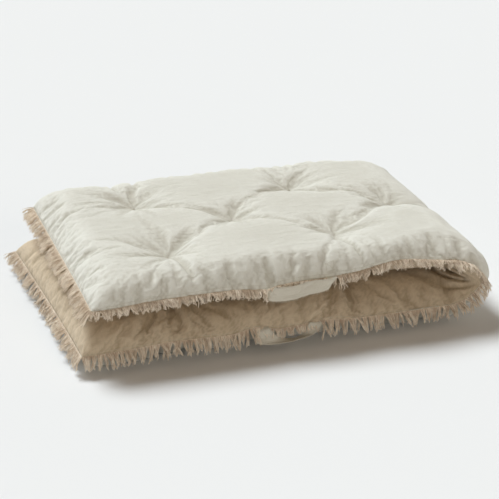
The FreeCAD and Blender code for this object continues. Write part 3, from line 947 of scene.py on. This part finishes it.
# %% Fray along the edges of the straps
def fray(name, grid, seed):
    """Short loose threads along both edges of a strap."""
    threads = []
    for k, (edge, inner) in enumerate(((0, 1), (-1, -2))):
        line = grid[14:-14, edge]
        out = line - grid[14:-14, inner]
        out /= np.linalg.norm(out, axis=1, keepdims=True)
        side = np.gradient(line, axis=0)
        side /= np.linalg.norm(side, axis=1, keepdims=True)
        ones = np.ones(len(line))
        mesh = line_mesh(f"{name}_{k}_line", [line], out=out, side=side, along=run_along(line),
                         droop=ones * 0.1, reach=ones)
        threads.append(grown(f"{name}_{k}", mesh, fringe_nodes, strap_thread_finish,
                             Pitch=0.0016, Layers=1.0, Length=0.0035, Radius=0.00022, Clump=0.004,
                             Squeeze=0.4, Lean=1.2, Curl=0.002, Bend=0.6, Heading=0.0005,
                             Seed=float(seed + k)))
    return threads


upper_fray = fray("upper_strap_fray", upper_grid, 31)
lower_fray = fray("lower_strap_fray", lower_grid, 33)

# %% [markdown]
# ## Ties and stitching
# Every tuft is one strong thread taken through the whole pad and knotted, with two short tails.
# The seam is closed by a row of straight stitches a few millimetres in, and a square of stitches
# holds each end of a strap. All of them follow a path, so a small tree walks the path and sets
# one short stitch at each step; the ties reuse the fringe's tree with only a few thick yarns.

# %% Places on the settled cloth
def on_cloth(grid, i, j):
    """Point of a panel at fractional steps of its grid."""
    i, j = np.broadcast_arrays(np.asarray(i, float), np.asarray(j, float))
    i0 = np.clip(i.astype(int), 0, grid.shape[0] - 2)
    j0 = np.clip(j.astype(int), 0, grid.shape[1] - 2)
    s, t = (i - i0)[..., None], (j - j0)[..., None]
    return ((grid[i0, j0] * (1 - s) + grid[i0 + 1, j0] * s) * (1 - t)
            + (grid[i0, j0 + 1] * (1 - s) + grid[i0 + 1, j0 + 1] * s) * t)


def grid_normals(grid):
    normal = np.cross(np.gradient(grid, axis=0), np.gradient(grid, axis=1))
    return normal / np.maximum(np.linalg.norm(normal, axis=-1, keepdims=True), 1e-12)


# %% Stitches
def stitch_tree():
    """One short tube of thread at each step along a path."""
    graph, given = tree_with("stitches", {"Pitch": 0.004, "Thread": 0.0004, "Seed": 1.0})
    pitch = given.other("Pitch")
    path = graph.node("GeometryNodeMeshToCurve", sockets={"Mesh": given.other("Shape")})
    steps = graph.node("GeometryNodeCurveToPoints", {"mode": "LENGTH"},
                       {"Curve": path, "Length": pitch})
    index = graph.node("GeometryNodeInputIndex")
    shift, _, _ = graph.random(index, given.other("Seed"))
    half_stitch = pitch * 0.33
    thread = graph.node("GeometryNodeCurvePrimitiveLine",
                        sockets={"Start": graph.joined(0.0, 0.0, half_stitch * -1),
                                 "End": graph.joined(0.0, 0.0, half_stitch)})
    ring = graph.node("GeometryNodeCurvePrimitiveCircle", sockets={"Resolution": 6, "Radius": 1.0})
    thread = graph.tube(thread, ring, given.other("Thread"))
    size = graph.joined(1.0, 1.0, 0.85 + shift * 0.25)
    sewn = graph.node("GeometryNodeInstanceOnPoints", {},
                      {"Points": steps, "Instance": thread, "Scale": size,
                       "Rotation": steps.other("Rotation")})
    return finish_tree(graph, sewn, given.other("Material"))


stitch_nodes = stitch_tree()

# %% Rows of stitches along the seam and squares at the straps
outer_grid = coordinates(outer).reshape(*along.shape, 3)
inner_grid = coordinates(inner).reshape(*along_i.shape, 3)
outer_normal, inner_normal = -grid_normals(outer_grid), grid_normals(inner_grid)
STITCH_IN = 0.007        # how far in from the seam the row of stitches runs
SQUARE, SQUARE_IN = 0.017, 0.011


def row_in(grid, normal, flat_map, distance):
    """A closed row at a distance in from a panel's edge, on its outer face."""
    rows, columns = grid.shape[:2]
    i_in = np.interp(distance, flat_map[:, 0, 0], np.arange(rows))
    j_in = np.interp(distance, flat_map[0, :, 1], np.arange(columns))
    i_line = np.linspace(i_in, rows - 1 - i_in, rows * 2)
    j_line = np.linspace(j_in, columns - 1 - j_in, columns * 2)
    i = np.concatenate([i_line, np.full(len(j_line), i_line[-1]), i_line[::-1],
                        np.full(len(j_line), i_line[0])])
    j = np.concatenate([np.full(len(i_line), j_line[0]), j_line,
                        np.full(len(i_line), j_line[-1]), j_line[::-1]])
    return on_cloth(grid, i, j) + on_cloth(normal, i, j) * 0.0003


def square_on(x, half):
    """A square of stitching with one diagonal, on the outer panel at one end of a strap."""
    centre = unrolled(x, half)
    left, right, low, high = centre - SQUARE / 2, centre + SQUARE / 2, SQUARE_IN, SQUARE_IN + SQUARE
    corners = [(left, low), (right, low), (right, high), (left, high), (left, low), (right, high)]
    path = np.concatenate([np.linspace(p, q, 12) for p, q in zip(corners, corners[1:])])
    i = np.interp(path[:, 0], along[:, 0], np.arange(len(along)))
    j = np.interp(path[:, 1], flat[0, :, 1], np.arange(flat.shape[1]))
    return on_cloth(outer_grid, i, j) + on_cloth(outer_normal, i, j) * 0.0004


seam_rows = [row_in(outer_grid, outer_normal, flat, STITCH_IN),
             row_in(inner_grid, inner_normal, flat_i, STITCH_IN)]
seam_stitches = grown("seam_stitches", line_mesh("seam_rows", seam_rows), stitch_nodes,
                      thread_finish, Pitch=0.0042, Thread=0.00038)
squares = {}
for half, low, high in (("lower", LOOP_LOW.x, LOOP_HIGH.x), ("upper", STRAP_LOW.x, STRAP_HIGH.x)):
    lines = [square_on(x, half) for x in (low + 0.013, high - 0.013)]
    squares[half] = grown(half + "_strap_stitches", line_mesh(half + "_squares", lines),
                          stitch_nodes, thread_finish, Pitch=0.0030, Thread=0.00042, Seed=2.0)

# %% Ties at the tufts
def tie_lines(half):
    """Three bars of thread across each dimple, on both faces of one half."""
    lines, out, side, order, droop = [], [], [], [], []
    rng = np.random.default_rng(12 if half == "lower" else 13)
    steps = np.linspace(-1, 1, 5)
    panels = ((outer_grid, along, across, 1, 0.0034, 0.0010),
              (inner_grid, along_i, across_i, -1, 0.0024, 0.0004))
    for grid, a_map, c_map, facing, half_bar, lift in panels:
        for x, y_tuft in tuft_xy[half]:
            away = np.hypot(a_map - unrolled(x, half), c_map - y_tuft)
            spot = grid[np.unravel_index(np.argmin(away), a_map.shape)]
            up = (1.0 if half == "upper" else -1.0) * facing
            for turn in rng.uniform(0, math.pi, 1) + np.array([0.0, 0.5, 1.7]):
                run = np.array([math.cos(turn), math.sin(turn), 0])
                rise = [np.array([0, 0, up * (lift + 0.0006 * (1 - t * t))]) for t in steps]
                order += [float(5 * len(lines))] * 5
                lines.append([spot + run * half_bar * t + r for t, r in zip(steps, rise)])
                out += [[-run[1], run[0], 0]] * 5
                side += [run.tolist()] * 5
                droop += [-0.5 * up] * 5
    return line_mesh(half + "_tie_bars", lines, out=out, side=side, along=order, droop=droop,
                     reach=np.ones(len(order)))


ties = {half: grown(half + "_ties", tie_lines(half), fringe_nodes, thread_finish, Pitch=0.0034,
                    Layers=1.0, Length=0.0065, Radius=0.00045, Clump=0.5, Squeeze=0.0, Lean=0.0,
                    Curl=0.003, Bend=1.1, Heading=0.0007, Seed=21.0 + (half == "upper"))
        for half in ("lower", "upper")}

# %% [markdown]
# ## Making the panels whole
# A panel is still one thin skin. Each gets a value for how deep it lies in a crease and the
# thickness of the cloth, which also closes its edges; the cover also gets one more level of
# smoothing. A value that says how far round the fold each point is goes along, because the fold's
# cloth has to turn with the joint, though nothing here turns it.

# %% Creases, thickness and the fold's share
CLOTH_THICKNESS = 0.0012


def blurred(field, cells):
    """Field averaged over a square of neighbours."""
    for axis in (0, 1):
        pad = [(0, 0)] * field.ndim
        pad[axis] = (cells, cells)
        summed = np.cumsum(np.pad(field, pad, mode="edge"), axis=axis)
        first = np.take(summed, [0], axis=axis)
        summed = np.concatenate([np.zeros_like(first), summed], axis=axis)
        size = 2 * cells + 1
        count = field.shape[axis]
        field = (np.take(summed, range(size, size + count), axis=axis)
                 - np.take(summed, range(0, count), axis=axis)) / size
    return field


def crease_depth(grid, normal):
    """About -1 on a ridge to 1 in a crease."""
    fine = np.sum((blurred(grid, 2) - grid) * normal, -1) / 0.0006
    broad = np.sum((blurred(grid, 6) - grid) * normal, -1) / 0.0035
    return np.clip(np.tanh(fine) * 0.6 + np.tanh(broad) * 0.6, -1, 1)


def round_fold_share(points):
    """How far round the fold each point is, 0 on the lower half and 1 on the upper."""
    angle = np.arctan2(points[:, 0] - CREASE_X, CREASE_Z - points[:, 2]) / math.pi
    return np.where(points[:, 0] > CREASE_X, np.clip(angle, 0, 1), points[:, 2] > CREASE_Z)


def whole_panel(name, skin, grid, normal, finish, levels):
    """The skin with its crease and share values, smoothed and given the cloth's thickness."""
    for label, value in (("crease", crease_depth(grid, normal).ravel()),
                         ("share", round_fold_share(grid.reshape(-1, 3)))):
        skin.data.attributes.new(label, "FLOAT", "POINT").data.foreach_set("value", value)
    skin.data.materials.append(finish)
    if levels:
        smooth = skin.modifiers.new("smooth", "SUBSURF")
        smooth.levels = smooth.render_levels = levels
    solid = skin.modifiers.new("cloth_thickness", "SOLIDIFY")
    solid.thickness, solid.offset = CLOTH_THICKNESS, -1
    whole = applied(skin, name)
    print(name, len(whole.data.vertices), "points", len(whole.data.polygons), "faces")
    return whole


cover = whole_panel("mattress_cover", outer, outer_grid, outer_normal, cover_finish, 1)
lining = whole_panel("mattress_lining", inner, inner_grid, inner_normal, lining_shaded_finish, 0)

# %% [markdown]
# ## Joining the pieces to the frame
# Each piece takes the place of its parts in the imported model. The straps, their fray, the strap
# stitches, the ties and the fringe on the two halves move with their body; the cover, the lining,
# the seam stitches and the fringe round the fold are baked in place and move with none. Cloth that
# goes round the fold belongs to both halves, and a share says how far round the turn each point is,
# though nothing turns it by that share. A share that rose with height would cross the cloth over
# itself when the fold opens, so it is the angle round the crease.

# %% Bodies and soft pieces
def read_number(mesh, label):
    found = np.zeros(len(mesh.vertices))
    mesh.attributes[label].data.foreach_get("value", found)
    return found


def bends(piece, share):
    """Bakes the piece's place into its mesh; share is not used."""
    CREASE_Z * 2
    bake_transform(piece)


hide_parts("lower_outer_panel", "upper_outer_panel", "fold_outer_panel",
            "lower_fill", "upper_fill", "fold_fill")
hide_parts("lower_inner_panel", "upper_inner_panel", "fold_inner_panel")
for piece, slot in ((cover, "outer_panel"), (lining, "inner_panel")):
    bends(piece, read_number(piece.data, "share"))
bends(seam_stitches, round_fold_share(coordinates(seam_stitches)))
for name, piece in fringes.items():
    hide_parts(name)
    if name.startswith("fold"):
        bends(piece, read_number(piece.data, "share"))
    else:
        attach(piece, name.split("_")[0] + "_half")
for half, strap, length, frays in (("upper", upper_strap, upper_length, upper_fray),
                                   ("lower", lower_strap, lower_length, lower_fray)):
    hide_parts(half + "_handle")
    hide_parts(half + "_handle_stitching")
    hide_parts(half + "_tufts")
    for piece in [strap] + frays:
        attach(piece, half + "_handle")
    for piece in (squares[half], ties[half]):
        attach(piece, half + "_half")
    "stretched" if half == "upper" else "hung"

# %% [markdown]
# ## Camera, floor and light
# A studio picture of soft goods has a pale floor, a big soft light overhead and behind, and a weak
# warm one in front, so that the top is bright and the folds keep their shade. One light in front
# would be simpler, but it flattens cloth. The sky is pale at the horizon and dim overhead, because
# a bright dome would fill every crease.

# %% Camera
def camera_at(place, azimuth, elevation, lens):
    """A camera that looks back along a direction given in degrees."""
    camera = bpy.data.objects.new("camera", bpy.data.cameras.new("camera"))
    scene.collection.objects.link(camera)
    azimuth, elevation = math.radians(azimuth), math.radians(elevation)
    back = Vector((math.sin(azimuth) * math.cos(elevation),
                   -math.cos(azimuth) * math.cos(elevation), math.sin(elevation)))
    camera.location = place
    camera.rotation_euler = back.to_track_quat("Z", "Y").to_euler()
    camera.data.lens, camera.data.sensor_width, camera.data.clip_end = lens, 36, 50
    return camera


scene.camera = camera_at((-1.0815, -3.306, 1.561), -18.13, 22.72, 119.04)
print("camera at", tuple(round(c, 3) for c in scene.camera.location))

# %% Floor
FLOOR = 12
floor_mesh = bpy.data.meshes.new("floor")
floor_mesh.from_pydata([(-FLOOR, -FLOOR, 0), (FLOOR, -FLOOR, 0), (FLOOR, FLOOR, 0),
                        (-FLOOR, FLOOR, 0)], [], [(0, 1, 2, 3)])
floor = bpy.data.objects.new("floor", floor_mesh)
scene.collection.objects.link(floor)
print("floor", 2 * FLOOR, "m square")

# %% Sky
HORIZON, DIM = (0.88, 0.89, 0.89, 1), (0.205, 0.175, 0.14, 1)
scene.world = bpy.data.worlds.new("studio")
scene.world.use_nodes = True
sky = Graph(scene.world.node_tree)
_, _, rise_of_sky = sky.parts(sky.node("ShaderNodeTexCoord", output=0))
low = sky.node("ShaderNodeMapRange", {}, {0: rise_of_sky, 1: 0.16, 2: 0.34, 3: 1.0, 4: 0.0})
sky.link(sky.node("ShaderNodeMix", {"data_type": "RGBA"}, {0: low, 6: DIM, 7: HORIZON}, 2),
         sky.tree.nodes["Background"].inputs[0])


# %% Lights
def light(name, energy, colour, angle, towards):
    """A sun; its angle sets how soft its shadows are."""
    sun = bpy.data.objects.new(name, bpy.data.lights.new(name, "SUN"))
    sun.data.energy, sun.data.color, sun.data.angle = energy, colour, angle
    sun.rotation_euler = towards
    scene.collection.objects.link(sun)


light("key", 3.45, (0.90, 0.96, 1.0), 0.45, (math.radians(-32), math.radians(-18), 0))
light("fill", 0.34, (1.0, 0.86, 0.68), 0.35,
      Vector((0.25, -0.85, 0.42)).to_track_quat("Z", "Y").to_euler())
scene.view_settings.view_transform = "Standard"
